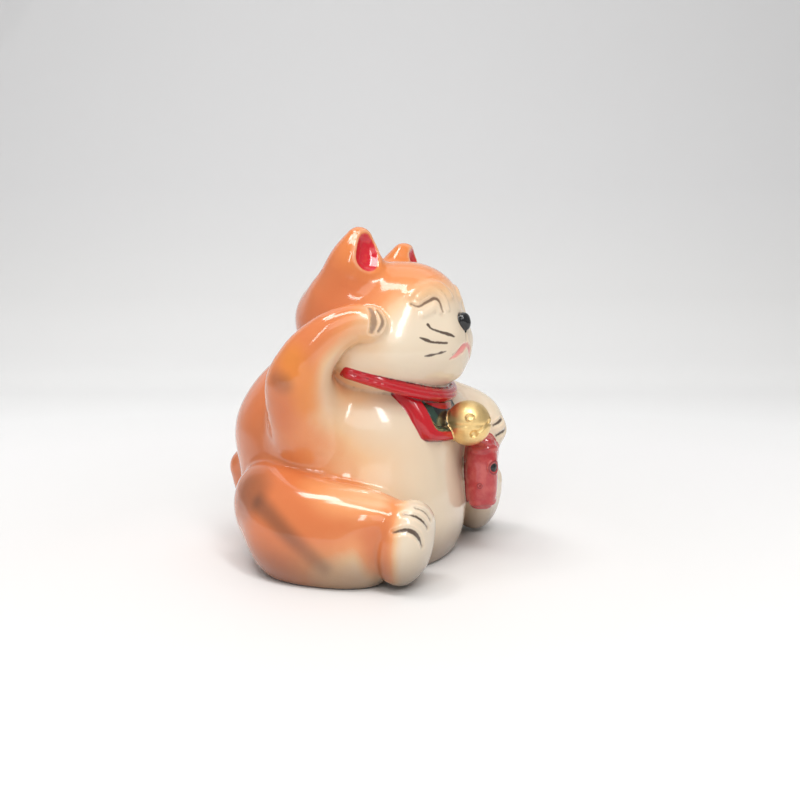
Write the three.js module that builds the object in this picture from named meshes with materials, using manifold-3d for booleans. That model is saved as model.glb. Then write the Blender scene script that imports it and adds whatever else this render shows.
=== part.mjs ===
// A lucky cat figurine: a fat seated cat with its right paw raised to its ear. It wears a collar
// with a bell and a bib, and its left paw holds a sea bream, head down, against its belly.
// The real one is a single slip-cast and glazed piece, so everything here is joined into one solid.
// Millimetres, +Z up. The cat faces -Y, its raised right paw is on the -X side, and the origin is
// the middle of its flat underside.

import * as THREE from "three";
import Module from "manifold-3d";
import { mergeVertices } from "three/addons/utils/BufferGeometryUtils.js";

const wasm = await Module();
wasm.setup();

// Driving sizes
const BODY_WIDE = 53;
const BODY_DEEP = 54;
const BELLY_HIGH = 12;
const CHEST_HIGH = 29;
const HEAD_WIDE = 43;
const HEAD_HIGH = 57;
const HEAD_FORWARD = -8;
const HEAD_ROLL = 3.5;
const HEAD_YAW = -5;
const EARS_APART = 25;
const HOLLOW_SWAY = -0.6;
const EAR_LAG = [0, 0.9, -0.5];
const LEGS_APART = 55.5;
const FEET_APART = 55;
const FOOT_TALL = 19.2;
const COLLAR_WIDE = 39.8;
const COLLAR_HIGH = 46.9;
const COLLAR_THICK = 3.4;
const THROAT_DROP = 6.7;
const NAPE_RISE = 3.5;
const BELL_ACROSS = 11.2;
const FISH_LONG = 19.4;
const GROOVE = 0.55;
const FLOOR = 200;

const SIDES = [-1, 1];

// An egg is a ball with three radii. Its squareness is 2 for an ellipsoid, and more for a
// squarer form. The turn holds angles in degrees about X, then Y, then Z.
function egg(middle, radii, square = 2, turn = [0, 0, 0]) {
  const angles = turn.map(THREE.MathUtils.degToRad);
  const place = new THREE.Matrix4().makeRotationFromEuler(new THREE.Euler(...angles, "ZYX"));
  place.setPosition(...middle);
  return { radii, square, place, back: place.clone().invert() };
}

// Roughly how far a spot lies outside an egg, in millimetres
function outside(form, spot) {
  const near = spot.clone().applyMatrix4(form.back);
  const parts = near.toArray().map((value, axis) => Math.abs(value) / form.radii[axis]);
  const size = parts.reduce((sum, part) => sum + part ** form.square, 0) ** (1 / form.square);
  const slopes = parts.map((part, axis) => part ** (form.square - 1) / form.radii[axis]);
  const slope = Math.hypot(...slopes) * Math.max(size, 1e-6) ** (1 - form.square);
  return (size - 1) / Math.max(slope, 1e-6);
}

// Joins two distances with a soft fillet of the given width
function soften(first, second, width) {
  const near = Math.max(width - Math.abs(first - second), 0);
  return Math.min(first, second) - near ** 2 / (4 * width);
}

// How far a ray from inside a form runs before it leaves the soft union of several eggs
function reach(forms, fillet, start, ray) {
  const spot = new THREE.Vector3();
  let inner = 0;
  let outer = BODY_DEEP;
  while (outer - inner > 0.01) {
    const middle = (inner + outer) / 2;
    spot.copy(start).addScaledVector(ray, middle);
    const depth = forms.map((form) => outside(form, spot)).reduce((a, b) => soften(a, b, fillet));
    if (depth < 0) inner = middle;
    else outer = middle;
  }
  return inner;
}

// The skin of several eggs that run softly into each other: a ball round a spot inside them
// whose vertices are pushed out to where the last of them ends
function moulded(inside, forms, fillet, across, down) {
  const start = new THREE.Vector3(...inside);
  const shape = new THREE.SphereGeometry(1, across, down).rotateX(Math.PI / 2);
  const spots = shape.attributes.position;
  const ray = new THREE.Vector3();
  for (let index = 0; index < spots.count; index++) {
    ray.fromBufferAttribute(spots, index).normalize();
    const spot = start.clone().addScaledVector(ray, reach(forms, fillet, start, ray));
    spots.setXYZ(index, ...spot.toArray());
  }
  return shape;
}

// A single egg as a faceted ball
function ball(form, across = 24, down = 16) {
  const shape = new THREE.SphereGeometry(1, across, down).rotateX(Math.PI / 2);
  const spots = shape.attributes.position;
  const spot = new THREE.Vector3();
  for (let index = 0; index < spots.count; index++) {
    spot.fromBufferAttribute(spots, index);
    const size = spot.toArray().reduce((sum, value) => sum + Math.abs(value) ** form.square, 0);
    spot.multiplyScalar(size ** (-1 / form.square)).multiply(new THREE.Vector3(...form.radii));
    spots.setXYZ(index, ...spot.toArray());
  }
  return shape.applyMatrix4(form.place);
}

// A round-ended limb through stations of x, y, z and radius
function limb(stations, across = 14, rows = 10, capRows = 3) {
  const outline = [];
  for (let row = 0; row < capRows; row++) {
    const angle = (row / capRows) * (Math.PI / 2);
    outline.push(new THREE.Vector2(Math.sin(angle), -Math.cos(angle)));
  }
  for (let row = 0; row <= rows; row++) outline.push(new THREE.Vector2(1, row / rows));
  for (let row = 1; row <= capRows; row++) {
    const angle = (row / capRows) * (Math.PI / 2);
    outline.push(new THREE.Vector2(row === capRows ? 0 : Math.cos(angle), 1 + Math.sin(angle)));
  }
  const middles = stations.map(([x, y, z]) => new THREE.Vector3(x, y, z));
  const path = new THREE.CatmullRomCurve3(middles, false, "catmullrom", 0.5);
  const girths = stations.map((station) => new THREE.Vector3(station[3], 0, 0));
  const girth = new THREE.CatmullRomCurve3(girths, false, "catmullrom", 0.5);

  const whole = middles.at(-1).clone().sub(middles[0]);
  const level = Math.abs(whole.x) < Math.hypot(whole.y, whole.z);
  const reference = level ? new THREE.Vector3(1, 0, 0) : new THREE.Vector3(0, 0, 1);

  const shape = new THREE.LatheGeometry(outline, across);
  const spots = shape.attributes.position;
  for (let index = 0; index < spots.count; index++) {
    const height = spots.getY(index);
    const along = THREE.MathUtils.clamp(height, 0, 1);
    const radius = girth.getPoint(along).x;
    const forward = path.getTangent(along);
    const lift = reference.clone().cross(forward).normalize();
    const side = forward.clone().cross(lift);
    const spot = path.getPoint(along);
    spot.addScaledVector(side, spots.getX(index) * radius);
    spot.addScaledVector(lift, spots.getZ(index) * radius);
    spot.addScaledVector(forward, (height - along) * radius);
    spots.setXYZ(index, ...spot.toArray());
  }
  return shape;
}

// A closed geometry as a solid that can be joined and cut
function solid(shape) {
  shape.deleteAttribute("normal");
  shape.deleteAttribute("uv");
  const merged = mergeVertices(shape, 1e-4);
  const vertProperties = new Float32Array(merged.attributes.position.array);
  const triVerts = new Uint32Array(merged.index.array);
  return new wasm.Manifold(new wasm.Mesh({ numProp: 3, vertProperties, triVerts }));
}

// The head is shaped upright, then rolled and turned about its own middle
const headMiddle = new THREE.Vector3(0, HEAD_FORWARD, HEAD_HIGH);
const headTurn = [0, HEAD_ROLL, HEAD_YAW];
const headMatrix = egg([0, 0, 0], [1, 1, 1], 2, headTurn).place;

function onHead(x, y, z) {
  const spot = new THREE.Vector3(x, y, z).sub(headMiddle);
  return spot.applyMatrix4(headMatrix).add(headMiddle).toArray();
}

function headEgg(middle, radii, square = 2) {
  return egg(onHead(...middle), radii, square, headTurn);
}

function headLimb(stations, ...detail) {
  return limb(stations.map(([x, y, z, radius]) => [...onHead(x, y, z), radius]), ...detail);
}

// Fat belly, the chest and back above it, both shoulders and the nape
const chestForms = [
  egg([0, -1.4, BELLY_HIGH], [BODY_WIDE / 2, BODY_DEEP * 0.52, 22.8], 2.4),
  egg([0, 1.2, CHEST_HIGH], [BODY_WIDE * 0.443, BODY_DEEP * 0.543, 20.5]),
  egg([0, 6.6, CHEST_HIGH], [20, 21, 23.8]),
  egg([-20.5, 1.5, 35], [8.5, 8, 11], 2, [0, -12, 0]),
  egg([19.5, 0, 36], [8, 11, 8]),
  egg([0, 1, 45], [17.5, 13, 7]),
];
const torsoFillet = 5;

// The left arm swells the chest in its crook, where it lies against it
const armCrook = egg([14, -21, 31], [9, 8, 9]);

function torso() {
  return solid(moulded([0, 0, 22], [...chestForms, armCrook], torsoFillet, 32, 18));
}

// Skull, brow, broad cheeks and a low muzzle
const headForms = [
  headEgg([0, -5.8, 58.1], [HEAD_WIDE * 0.442, 18.8, 14.3]),
  headEgg([0, -17.7, 60], [HEAD_WIDE * 0.326, 12.1, 12.1]),
  headEgg([0, -11.5, 50.5], [HEAD_WIDE / 2, 18.8, 12.3]),
  headEgg([0, -24.6, 52.4], [HEAD_WIDE * 0.198, 6.5, 6]),
];
const headFillet = 6;
const headInside = [0, -10, 56];

function head() {
  return solid(moulded(onHead(...headInside), headForms, headFillet, 30, 18));
}

// The spot on the skin of the face at a place across and up it
function onFace(across, up) {
  const start = new THREE.Vector3(...onHead(across, headInside[1], up));
  const ray = new THREE.Vector3(0, -1, 0).applyMatrix4(headMatrix);
  return start.addScaledVector(ray, reach(headForms, headFillet, start, ray)).toArray();
}

function nose() {
  return solid(ball(headEgg([0, -31.2, 58.2], [2.3, 1.7, 2.2]), 10, 7));
}

// Shut, smiling eyes and the split below the nose, as shallow grooves
function faceGrooves() {
  const cuts = [];
  for (const side of SIDES) {
    const lid = [[12.9, 61.3], [9.6, 62.1], [7.4, 63.2], [6.4, 60.2]];
    const mouth = [[0.3, 56.4], [2.3, 52.8], [5.3, 50.5], [7.2, 48.7]];
    for (const line of [lid, mouth]) {
      const stations = line.map(([across, up]) => [...onFace(side * across, up), GROOVE]);
      cuts.push(solid(limb(stations, 6, 7, 1)));
    }
  }
  return cuts;
}

// A limb at an ear, through stations outward from its middle. The left ear lags behind the
// right one.
function earLimb(side, stations, ...detail) {
  const lag = side > 0 ? EAR_LAG : [0, 0, 0];
  const placed = stations.map(([out, y, z, radius]) => {
    return [side * (EARS_APART / 2 + out) + lag[0], y + lag[1], z + lag[2], radius];
  });
  return solid(headLimb(placed, ...detail));
}

// Ears stand wide at the root and end in a rounded tip
function ear(side) {
  return earLimb(side, [
    [-1.7, -4.1, 63.7, 7.3],
    [-0.1, -7.9, 70.2, 6.6],
    [0.2, -9.2, 76.3, 3.4],
  ], 11, 5, 3);
}

// The hollow of an ear is a wide, shallow dish, turned a little to the cat's right
function earHollow(side) {
  const sway = side * HOLLOW_SWAY;
  return earLimb(side, [
    [2.8 + sway, -14.6, 72.3, 3.6],
    [1.4 + sway, -14.1, 75.1, 3.5],
    [2 + sway, -13.5, 76.9, 2.4],
  ], 10, 4, 2);
}

// A leg lies forward along the belly: a haunch that rises behind a fat, splayed thigh, and a
// knee that is almost as high as the foot
function leg(side) {
  const thigh = egg([(side * LEGS_APART) / 2, -7.1, 9.3], [10.8, 18.4, 13.1], 2.2);
  const haunch = egg([side * 24.5, 4, 12.2], [10.4, 17.8, 12.1], 2.1, [22, 0, side * 24]);
  const knee = egg([side * 28.1, -19.4, 15.2], [7, 10.3, 4.7]);
  return solid(moulded([side * 26, -4, 9], [haunch, thigh, knee], 4, 20, 14));
}

// A foot stands on its heel with the sole forward
function footForm(side) {
  const middle = [(side * FEET_APART) / 2, -26.6, FOOT_TALL / 2 + 0.4];
  return egg(middle, [8.8, 5.6, FOOT_TALL / 2], 2.3, [12, 0, 0]);
}

// Three grooves part the toes. Each one starts high on the outer side and comes round onto the
// sole. The turns are degrees outward from straight ahead.
function toeGrooves(side) {
  const form = footForm(side);
  const heights = [17.6, 15.6, 12.4];
  const turns = [[54, 21, -15], [90, 57, 16], [101, 73, 47]];
  return turns.map((line, toe) => {
    const stations = line.map((turn, step) => {
      const angle = THREE.MathUtils.degToRad(turn);
      const ray = new THREE.Vector3(side * Math.sin(angle), -Math.cos(angle), 0);
      const up = heights[toe] + [0.7, 0, -2.5][step];
      const start = new THREE.Vector3((side * FEET_APART) / 2, -27, up);
      return [...start.clone().addScaledVector(ray, reach([form], 1, start, ray)).toArray(), GROOVE];
    });
    return solid(limb(stations, 6, 5, 1));
  });
}

function foot(side) {
  const whole = solid(ball(footForm(side), 16, 10));
  return toeGrooves(side).reduce((cut, groove) => cut.subtract(groove), whole);
}

// The right arm goes up beside the cheek, and the paw bends forward at the ear
function raisedArm() {
  const stations = [
    [-14, 3, 29, 4],
    [-24, 1.6, 41, 7.6],
    [-26, -1.2, 48.5, 6.6],
    [-25, -6.2, 54.6, 5.3],
    [-22.5, -11, 57.6, 4.6],
    [-20.5, -14.5, 57.6, 4.4],
  ];
  return solid(limb(stations, 14, 9, 3));
}

// Two grooves part the fingers of the raised paw
function raisedFingers() {
  return [0, 1].map((finger) => {
    const out = -23.4 + finger * 2.3;
    const front = -17.4 - finger * 1.2;
    const stations = [
      [out + 0.4, front + 1, 60.6, GROOVE],
      [out, front, 58, GROOVE],
      [out - 0.4, front + 0.8, 55.5, GROOVE],
    ];
    return solid(limb(stations, 6, 4, 1));
  });
}

// The left arm comes forward and down onto the fish
function loweredArm() {
  const stations = [
    [14, 3, 36, 5],
    [23, -8, 37, 7.4],
    [22.5, -20, 35.6, 6.2],
    [20, -28, 33.6, 5.5],
    [16.5, -32, 30, 5],
  ];
  return solid(limb(stations, 12, 8, 3));
}

// Two grooves part the fingers of the hand on the fish
function loweredFingers() {
  return [32.2, 29.2].map((high, finger) => {
    const front = -35.4 - finger * 0.9;
    const stations = [
      [11.6, front + 1.8, high - 1.2, GROOVE],
      [13.8, front, high, GROOVE],
      [16.6, front - 0.8, high + 1, GROOVE],
    ];
    return solid(limb(stations, 6, 4, 1));
  });
}

// A short tail curls up against the back
function tail() {
  return solid(limb([[4, 24.5, 7, 5.4], [1, 27.7, 13, 6], [-2, 28.7, 19.2, 5.3]], 12, 5, 3));
}

// The collar is a ring that dips at the throat and rises to the nape
function collar() {
  const shape = new THREE.TorusGeometry(COLLAR_WIDE / 2, COLLAR_THICK / 2, 6, 32);
  const spots = shape.attributes.position;
  const sway = (THROAT_DROP + NAPE_RISE) / 2;
  for (let index = 0; index < spots.count; index++) {
    const x = spots.getX(index);
    const y = spots.getY(index);
    const front = -y / Math.hypot(x, y);
    const drop = sway * front + (THROAT_DROP - sway) * front ** 2;
    spots.setXYZ(index, x, y * 0.952 - 7.5, spots.getZ(index) + COLLAR_HIGH - drop);
  }
  return solid(shape);
}

// A sheet that hangs from the collar over the chest, between two distances from its skin. It
// is a little narrower at its hem, and the inset draws its edges in.
function sheet(inset, inner, outer) {
  const cloth = new THREE.BoxGeometry(1, 1, 1, 8, 1, 3);
  const spots = cloth.attributes.position;
  const ray = new THREE.Vector3(0, -1, 0);
  for (let index = 0; index < spots.count; index++) {
    const rise = spots.getZ(index) + 0.5;
    const across = spots.getX(index) * 2;
    const x = across * (THREE.MathUtils.lerp(11.5, 12.4, Math.min(rise * 2, 1)) - inset);
    const hem = 29.5 + inset + 0.9 * across ** 2;
    const start = new THREE.Vector3(x, 0, THREE.MathUtils.lerp(hem, 41 + 3 * across ** 2, rise));
    const chest = reach(chestForms, torsoFillet, start, ray);
    const proud = spots.getY(index) < 0 ? outer : inner;
    spots.setXYZ(index, ...start.addScaledVector(ray, chest + proud).toArray());
  }
  return solid(cloth);
}

// The bib has a raised border round a lower field
function bib() {
  return sheet(0, -3, 2).subtract(sheet(3.2, 0.9, 4));
}

// A round bell with a sunk seam round its middle, and a slanting slot that ends in two round holes
function bell() {
  const middle = new THREE.Vector3(0, -32, 33.5);
  const radius = BELL_ACROSS / 2;
  const seam = new THREE.TorusGeometry(radius, 0.3, 4, 16).translate(...middle.toArray());
  const body = solid(ball(egg(middle.toArray(), [radius, radius, radius]), 16, 12));
  const slot = [[-0.77, -0.5, -0.4], [-0.35, -0.94, 0], [0.26, -0.88, 0.4]].map((way) => {
    return middle.clone().addScaledVector(new THREE.Vector3(...way).normalize(), radius).toArray();
  });
  const cuts = [seam, limb(slot.map((spot) => [...spot, 0.4]), 6, 6, 1)];
  for (const end of [slot[0], slot[2]]) cuts.push(ball(egg(end, [1, 1, 1]), 8, 6));
  return cuts.reduce((cut, shape) => cut.subtract(solid(shape)), body);
}

// The sea bream hangs head down across the belly, its tail end under the left arm
function fish() {
  const lean = [0, 0, 20];
  const headEnd = egg([10, -32.6, 20], [6.8, 4.2, FISH_LONG / 2], 3.2, lean);
  const bodyEnd = egg([16.5, -30, 25], [7, 5, 9], 2, [0, 40, 20]);
  const eye = ball(egg([6.4, -36.2, 22.2], [1.4, 1.2, 1.4]), 10, 6);
  const fin = ball(egg([15.8, -34.6, 19], [3.4, 1, 2.2], 2, [0, 50, 10]), 12, 6);
  const gill = limb([[3.6, -31.6, 25.6, 0.5], [7.4, -36.6, 25, 0.5], [13, -37, 24, 0.5]], 6, 6, 1);
  const lips = limb([[3.6, -34, 13.4, 0.5], [8, -36.4, 12, 0.5], [13, -35.6, 11.8, 0.5]], 6, 6, 1);
  const whole = solid(ball(headEnd, 16, 12)).add(solid(ball(bodyEnd, 12, 8)));
  return whole.add(solid(eye)).add(solid(fin)).subtract(solid(gill)).subtract(solid(lips));
}

// Everything below the ground is cut away, which leaves the flat underside, and a small vent
// hole is let into it, as a slip casting has
function ground() {
  const below = new THREE.BoxGeometry(FLOOR, FLOOR, FLOOR).translate(0, 0, -FLOOR / 2);
  return solid(below);
}

function ventHole() {
  return solid(new THREE.CylinderGeometry(3, 3, 6, 16).rotateX(Math.PI / 2).translate(0, 13, 0));
}

function luckyCat() {
  let cat = torso().add(raisedArm()).add(loweredArm()).add(tail());
  for (const side of SIDES) cat = cat.add(leg(side));
  let face = head();
  for (const side of SIDES) face = face.add(ear(side));
  for (const side of SIDES) face = face.subtract(earHollow(side));
  for (const cut of faceGrooves()) face = face.subtract(cut);
  cat = cat.add(face.add(nose()));
  for (const cut of raisedFingers()) cat = cat.subtract(cut);
  for (const side of SIDES) cat = cat.add(foot(side));
  cat = cat.add(collar()).add(bib()).add(fish());
  for (const cut of loweredFingers()) cat = cat.subtract(cut);
  return cat.add(bell()).subtract(ground()).subtract(ventHole());
}

const { vertProperties, triVerts } = luckyCat().getMesh();
const skin = new THREE.BufferGeometry();
skin.setAttribute("position", new THREE.BufferAttribute(vertProperties, 3));
skin.setIndex(new THREE.BufferAttribute(triVerts, 1));
skin.computeVertexNormals();

const glaze = new THREE.MeshStandardMaterial({ color: 0xe59258, roughness: 0.15, metalness: 0 });
const figurine = new THREE.Mesh(skin, glaze);
figurine.name = "lucky_cat";

const group = new THREE.Group();
group.add(figurine);

export default group;
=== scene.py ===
# A lucky cat figurine: a fat seated cat of glazed porcelain with its right paw raised to its
# ear, a red collar, a bib, a gold bell and a red sea bream under its left paw. It is one casting,
# so one piece stands for it: a fine copy of the solid, pressed onto the smooth clay that the
# solid only approximates, with the small relief of the mould and the painter's colours on it.
# The clay is worked in millimetres, +Z up. The cat faces -Y and its raised paw is at -X.

import math

import bpy
import numpy as np
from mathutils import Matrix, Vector


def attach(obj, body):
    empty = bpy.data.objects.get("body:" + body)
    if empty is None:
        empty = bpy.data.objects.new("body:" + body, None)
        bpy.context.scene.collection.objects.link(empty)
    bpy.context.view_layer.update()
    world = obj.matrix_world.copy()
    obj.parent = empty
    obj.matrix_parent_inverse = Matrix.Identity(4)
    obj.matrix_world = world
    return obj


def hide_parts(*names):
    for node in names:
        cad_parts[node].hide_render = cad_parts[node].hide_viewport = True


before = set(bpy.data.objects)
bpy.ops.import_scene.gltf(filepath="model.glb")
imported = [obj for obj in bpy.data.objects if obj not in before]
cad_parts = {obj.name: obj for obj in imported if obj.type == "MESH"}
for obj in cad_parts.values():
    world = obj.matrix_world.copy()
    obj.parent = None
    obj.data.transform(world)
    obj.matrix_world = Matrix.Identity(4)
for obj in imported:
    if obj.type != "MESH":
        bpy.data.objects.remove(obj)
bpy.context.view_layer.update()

# Sizes in millimetres, as on the solid
MM = 0.001
BODY_WIDE = 53
BODY_DEEP = 54
BELLY_HIGH = 12
CHEST_HIGH = 29
HEAD_WIDE = 43
HEAD_HIGH = 57
HEAD_FORWARD = -8
HEAD_ROLL = 3.5
HEAD_YAW = -5
EARS_APART = 25
HOLLOW_SWAY = -0.6
EAR_LAG = (0, 0.9, -0.5)
LEGS_APART = 55.5
FEET_APART = 55
FOOT_TALL = 19.2
COLLAR_WIDE = 39.8
COLLAR_HIGH = 46.9
COLLAR_BACK = -7.5
COLLAR_THICK = 3.4
COLLAR_ARM_GAP = 2.4
BELL_ACROSS = 11.2
BELL_MIDDLE = (0, -32, 33.5)
FISH_LONG = 19.4
FAR_AWAY = 30.0
LIMB_REACH = 8
LEAST_SLOPE = 0.4

# The cat's right, then its left
SIDES = (-1, 1)


# Clay. A form is a function that tells how far each spot lies outside it, in millimetres.

def turned(turn):
    """The axes after a turn in degrees about X, then Y, then Z"""
    (cx, cy, cz), (sx, sy, sz) = np.cos(np.radians(turn)), np.sin(np.radians(turn))
    about_x = np.array(((1, 0, 0), (0, cx, -sx), (0, sx, cx)))
    about_y = np.array(((cy, 0, sy), (0, 1, 0), (-sy, 0, cy)))
    about_z = np.array(((cz, -sz, 0), (sz, cz, 0), (0, 0, 1)))
    return about_z @ about_y @ about_x


def egg(middle, radii, square=2.0, turn=(0, 0, 0)):
    """A ball with three radii, squarer where square is over 2"""
    middle, radii, axes = np.array(middle, float), np.array(radii, float), turned(turn)

    def form(spots):
        parts = np.abs((spots - middle) @ axes) / radii
        size = np.maximum((parts ** square).sum(1) ** (1 / square), 1e-6)
        slope = np.sqrt(((parts ** (square - 1) / radii) ** 2).sum(1)) * size ** (1 - square)
        return (size - 1) / np.maximum(slope, 1e-6)

    return form


def spline(stations, steps=6):
    """A smooth curve through the stations, as points"""
    knots = np.array(stations, float)
    knots = np.vstack((2 * knots[0] - knots[1], knots, 2 * knots[-1] - knots[-2]))
    t = np.linspace(0, 1, steps, endpoint=False)[:, None]
    pieces = []
    for a, b, c, d in zip(knots, knots[1:], knots[2:], knots[3:]):
        pieces.append(0.5 * (2 * b + (c - a) * t + (2 * a - 5 * b + 4 * c - d) * t ** 2
                             + (3 * b - a - 3 * c + d) * t ** 3))
    return np.vstack((*pieces, knots[-2]))


def limb(stations, steps=6):
    """A round-ended limb through stations of x, y, z and radius, worked out only near it"""
    points = spline(stations, steps)
    reach = points[:, 3].max() + LIMB_REACH
    low, high = points[:, :3].min(0) - reach, points[:, :3].max(0) + reach

    def form(spots):
        away = np.full(len(spots), FAR_AWAY)
        near = np.all((spots > low) & (spots < high), axis=1)
        close = spots[near]
        best = np.full(len(close), FAR_AWAY)
        for start, end in zip(points, points[1:]):
            way = end[:3] - start[:3]
            along = np.clip((close - start[:3]) @ way / max(way @ way, 1e-9), 0, 1)
            gap = np.linalg.norm(close - start[:3] - along[:, None] * way, axis=1)
            best = np.minimum(best, gap - start[3] - along * (end[3] - start[3]))
        away[near] = best
        return away

    return form


def soften(first, second, width):
    """Joins two distances with a soft fillet of the given width"""
    near = np.maximum(width - np.abs(first - second), 0)
    return np.minimum(first, second) - near ** 2 / (4 * width)


def carve(first, second, width):
    """The first form less the second one, with a soft edge of the given width"""
    return -soften(-first, second, width)


def joined(forms, width):
    """Several forms that run softly into each other"""
    def form(spots):
        away = forms[0](spots)
        for other in forms[1:]:
            away = soften(away, other(spots), width)
        return away

    return form


# The head is shaped upright, then rolled and turned about its own middle
HEAD_MIDDLE = np.array((0, HEAD_FORWARD, HEAD_HIGH), float)
HEAD_TURN = (0, HEAD_ROLL, HEAD_YAW)
HEAD_AXES = turned(HEAD_TURN)


def on_head(spot):
    """Where a spot of the upright head is once the head is turned"""
    return (np.array(spot, float) - HEAD_MIDDLE) @ HEAD_AXES.T + HEAD_MIDDLE


def head_egg(middle, radii):
    return egg(on_head(middle), radii, turn=HEAD_TURN)


def head_limb(stations):
    return limb([(*on_head(station[:3]), station[3]) for station in stations])


# Fat belly, the chest and back above it, both shoulders and the nape
chest = joined([
    egg((0, -1.4, BELLY_HIGH), (BODY_WIDE / 2, BODY_DEEP * 0.52, 22.8), 2.4),
    egg((0, 1.2, CHEST_HIGH), (BODY_WIDE * 0.443, BODY_DEEP * 0.543, 20.5)),
    egg((0, 6.6, CHEST_HIGH), (20, 21, 23.8)),
    egg((-20.5, 1.5, 35), (8.5, 8, 11), 2, (0, -12, 0)),
    egg((19.5, 0, 36), (8, 11, 8)),
    egg((0, 1, 45), (17.5, 13, 7)),
], 5)
arm_crook = egg((14, -21, 31), (9, 8, 9))
torso = joined([chest, arm_crook], 7)

# Skull, brow, broad cheeks, a low muzzle with two pads, and a chin
skull = joined([
    head_egg((0, -5.8, 58.1), (HEAD_WIDE * 0.442, 18.8, 14.3)),
    head_egg((0, -17.7, 60), (HEAD_WIDE * 0.326, 12.1, 12.1)),
    head_egg((0, -11.5, 50.5), (HEAD_WIDE / 2, 18.8, 12.3)),
    head_egg((0, -24.6, 52.4), (HEAD_WIDE * 0.198, 6.5, 6)),
], 6)

raised_arm = limb([
    (-14, 3, 29, 4),
    (-24, 1.6, 41, 7.6),
    (-26, -1.2, 48.5, 6.6),
    (-25, -6.2, 54.6, 5.3),
    (-22.5, -11, 57.6, 4.6),
    (-20.5, -14.5, 57.6, 4.4),
])

lowered_arm = limb([
    (14, 3, 36, 5),
    (23, -8, 37, 7.4),
    (22.5, -20, 35.6, 6.2),
    (20, -28, 33.6, 5.5),
    (16.5, -32, 30, 5),
])

tail = limb([(4, 24.5, 7, 5.4), (1, 27.7, 13, 6), (-2, 28.7, 19.2, 5.3)])


def leg(side):
    """A haunch behind a fat, splayed thigh, and a knee almost as high as the foot"""
    thigh = egg((side * LEGS_APART / 2, -7.1, 9.3), (10.8, 18.4, 13.1), 2.2)
    haunch = egg((side * 24.5, 4, 12.2), (10.4, 17.8, 12.1), 2.1, (22, 0, side * 24))
    knee = egg((side * 28.1, -19.4, 15.2), (7, 10.3, 4.7))
    return joined([haunch, thigh, knee], 4)


def foot(side):
    """A foot stands on its heel with the sole forward"""
    middle = (side * FEET_APART / 2, -26.6, FOOT_TALL / 2 + 0.4)
    return egg(middle, (8.8, 5.6, FOOT_TALL / 2), 2.3, (12, 0, 0))


def ear_limb(side, stations):
    """A limb at an ear, outward from its middle. The left ear lags behind the right one."""
    lag = EAR_LAG if side > 0 else (0, 0, 0)
    return head_limb([
        (side * (EARS_APART / 2 + out) + lag[0], y + lag[1], z + lag[2], radius)
        for out, y, z, radius in stations
    ])


def ear(side):
    return ear_limb(side, [(-1.7, -4.1, 63.7, 7.3), (-0.1, -7.9, 70.2, 6.6), (0.2, -9.2, 76.3, 3.4)])


def ear_hollow(side):
    """A wide, shallow dish in front of an ear, both of them turned a little to the cat's right"""
    sway = side * HOLLOW_SWAY
    return ear_limb(side, [
        (2.8 + sway, -14.6, 72.3, 3.6),
        (1.4 + sway, -14.1, 75.1, 3.5),
        (2 + sway, -13.5, 76.9, 2.4),
    ])


legs = [leg(side) for side in SIDES]
feet = [foot(side) for side in SIDES]
ears = [ear(side) for side in SIDES]
hollows = [ear_hollow(side) for side in SIDES]
nose = head_egg((0, -31.2, 58.2), (2.3, 1.7, 2.2))
bell = egg(BELL_MIDDLE, (BELL_ACROSS / 2,) * 3)
fish_head = egg((10, -32.3, 20), (6.8, 4.2, FISH_LONG / 2), 3.2, (0, 0, 20))
fish_body = egg((16.5, -30, 25), (7, 5, 9), 2, (0, 40, 20))


def collar_section(spots):
    """How far spots lie outward from the middle of the collar's band, and above it"""
    x, y = spots[:, 0], (spots[:, 1] - COLLAR_BACK) / 0.952
    ring = np.maximum(np.hypot(x, y), 1e-6)
    front = -y / ring
    drop = 5.1 * front + 1.6 * front ** 2
    return ring - COLLAR_WIDE / 2, spots[:, 2] - COLLAR_HIGH + drop


# Small forms of the mould, which the solid gives only roughly

pads = joined([head_egg((side * 4, -26.5, 54.2), (4.7, 4.9, 4.3)) for side in SIDES], 0.5)
chin = head_egg((0, -26.6, 47), (5.4, 4.4, 3.4))


def pads_and_chin(spots):
    """Two cheek pads either side of the split lip, and a chin under them"""
    return soften(pads(spots), chin(spots), 0.5)


def face(spots):
    return soften(skull(spots), pads_and_chin(spots), 1.6)


nose_point = head_limb([(0, -31.8, 57.4, 1.2), (0, -32, 56.4, 0.6), (0, -31.8, 55.8, 0.3)])


def nose_drop(spots):
    """The nose narrows to a point over the split lip"""
    return soften(nose(spots), nose_point(spots), 0.8)


SOLE_FRONT = -32.5
SOLE_LEAN = 0.1
SOLE_HIGH = 10


def ahead_of_soles(spots):
    """The space in front of the leaning flat that both soles are pressed against"""
    return spots[:, 1] - SOLE_FRONT + SOLE_LEAN * (spots[:, 2] - SOLE_HIGH)


def trunk(spots):
    """Body, arms, tail, legs and feet, without what the cat wears and holds"""
    away = soften(torso(spots), raised_arm(spots), 4)
    away = soften(away, lowered_arm(spots), 2.5)
    away = soften(away, tail(spots), 3)
    for thigh, toes in zip(legs, feet):
        away = soften(away, thigh(spots), 1.6)
        away = soften(away, carve(toes(spots), ahead_of_soles(spots), 1.5), 1.2)
    return away


def head(spots):
    away = face(spots)
    for cone, hollow in zip(ears, hollows):
        away = soften(away, cone(spots), 4)
        away = carve(away, hollow(spots), 0.8)
    return soften(away, nose_drop(spots), 0.3)


def figure(spots):
    return soften(trunk(spots), head(spots), 1)


def slope_of(form, spots, away, step=0.02):
    """Which way, and how fast, the distance from a form grows"""
    ahead = [form(spots + way) - away for way in np.eye(3) * step]
    return np.stack(ahead, 1) / step


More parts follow.
